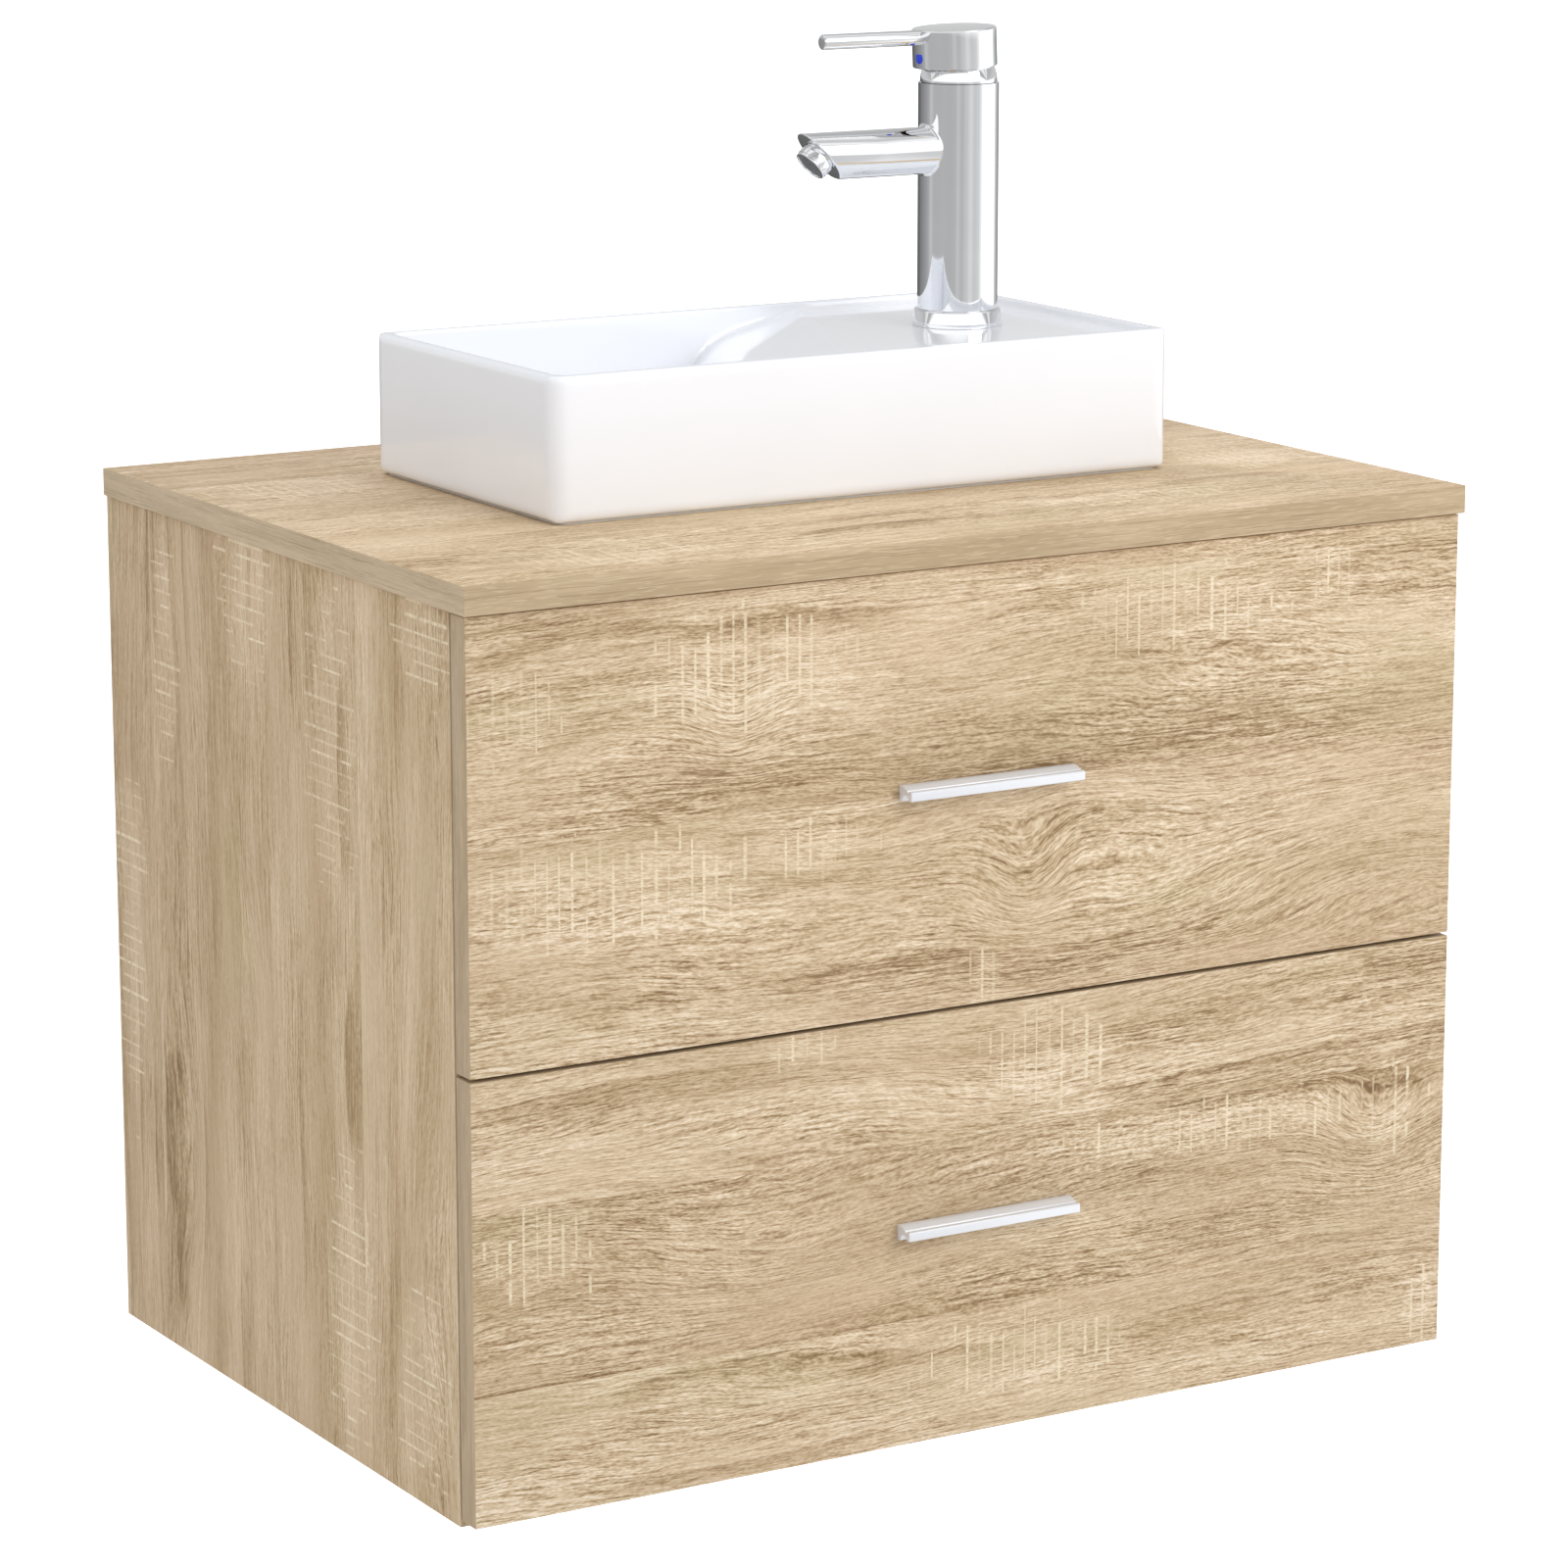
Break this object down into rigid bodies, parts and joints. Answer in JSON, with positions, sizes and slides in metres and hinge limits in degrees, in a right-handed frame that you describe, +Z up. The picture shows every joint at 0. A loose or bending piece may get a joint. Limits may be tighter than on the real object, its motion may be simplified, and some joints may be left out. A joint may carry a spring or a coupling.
{
  "type": "vessel sink on vanity",
  "caption": "Wall-hung oak-look bathroom vanity with full-extension drawers, bar handles, a rectangular vessel basin with a side tap deck and a single-lever mixer tap.",
  "frame": {"origin": "middle of the bounding box at the cabinet's underside", "axes": "+X to the right seen from the front, +Y back to the wall, +Z up; the drawers open along -Y"},
  "size_m": [0.6, 0.4338, 0.7152],
  "materials": {
    "oak_laminate": "matt wood-grain laminate",
    "white_board": "matt laminate",
    "zinc_steel": "zinc plated",
    "satin_aluminium": "satin",
    "white_ceramic": "gloss",
    "black_rubber": "matt",
    "white_silicone": "satin",
    "blue_plastic": "gloss",
    "chrome": "polished",
    "white_plastic": "satin"
  },
  "bodies": {
    "cabinet": {"worktop": "oak_laminate", "left_side": "oak_laminate", "right_side": "oak_laminate", "bottom_panel": "oak_laminate", "front_rail": "oak_laminate", "back_rail": "oak_laminate", "lower_back_rail": "oak_laminate", "cam_fittings": "zinc_steel", "left_hanger": "white_plastic", "right_hanger": "white_plastic", "bumpers": "white_plastic", "upper_left_outer_runner": "zinc_steel", "upper_right_outer_runner": "zinc_steel", "lower_left_outer_runner": "zinc_steel", "lower_right_outer_runner": "zinc_steel", "basin": "white_ceramic", "basin_seal": "white_silicone", "waste_body": "chrome", "waste_gasket": "black_rubber", "waste_nut": "white_plastic", "trap_body": "white_plastic", "trap_cup": "white_plastic", "trap_nuts": "white_plastic", "trap_outlet_pipe": "white_plastic", "tap_body": "chrome", "tap_base_ring": "chrome", "tap_spout": "chrome", "tap_aerator": "chrome", "tap_cartridge": "white_plastic", "tap_dome": "chrome", "tap_stud": "zinc_steel", "tap_clamp": "zinc_steel"},
    "upper_drawer": {"upper_left_inner_runner": "zinc_steel", "upper_right_inner_runner": "zinc_steel", "upper_front": "oak_laminate", "upper_box_left": "white_board", "upper_box_right": "white_board", "upper_box_back": "white_board", "upper_notch_walls": "white_board", "upper_bottom": "white_board", "upper_handle": "satin_aluminium", "upper_handle_screws": "zinc_steel"},
    "lower_drawer": {"lower_left_inner_runner": "zinc_steel", "lower_right_inner_runner": "zinc_steel", "lower_front": "oak_laminate", "lower_box_left": "white_board", "lower_box_right": "white_board", "lower_box_back": "white_board", "lower_bottom": "white_board", "lower_handle": "satin_aluminium", "lower_handle_screws": "zinc_steel"},
    "upper_slides": {"upper_middle_runners": "zinc_steel"},
    "lower_slides": {"lower_middle_runners": "zinc_steel"},
    "tap_turner": {"cartridge_rotor": "zinc_steel"},
    "tap_lever": {"lever_stem": "zinc_steel", "tap_cap": "chrome", "lever_pin": "chrome", "index_dot": "blue_plastic"},
    "plug": {"waste_plug": "chrome"}
  },
  "joints": [
    {"name": "upper_drawer_slide", "type": "slide", "parent": "cabinet", "child": "upper_drawer", "axis": [0, -1, 0], "range_m": [0, 0.33]},
    {"name": "upper_runner_slide", "type": "slide", "parent": "cabinet", "child": "upper_slides", "axis": [0, -1, 0], "range_m": [0, 0.165]},
    {"name": "lower_drawer_slide", "type": "slide", "parent": "cabinet", "child": "lower_drawer", "axis": [0, -1, 0], "range_m": [0, 0.33]},
    {"name": "lower_runner_slide", "type": "slide", "parent": "cabinet", "child": "lower_slides", "axis": [0, -1, 0], "range_m": [0, 0.165]},
    {"name": "tap_turn", "type": "hinge", "parent": "cabinet", "child": "tap_turner", "pos_m": [0.125, 0.0222, 0.685], "axis": [0, 0, 1], "range_deg": [-50, 50]},
    {"name": "tap_lift", "type": "hinge", "parent": "tap_turner", "child": "tap_lever", "pos_m": [0.125, 0.0222, 0.685], "axis": [0, 1, 0], "range_deg": [0, 20]},
    {"name": "plug_lift", "type": "slide", "parent": "cabinet", "child": "plug", "axis": [0, 0, 1], "range_m": [0, 0.008]}
  ],
  "couplings": [
    {"joint": "upper_runner_slide", "follows": "upper_drawer_slide", "ratio": 0.5},
    {"joint": "lower_runner_slide", "follows": "lower_drawer_slide", "ratio": 0.5}
  ]
}
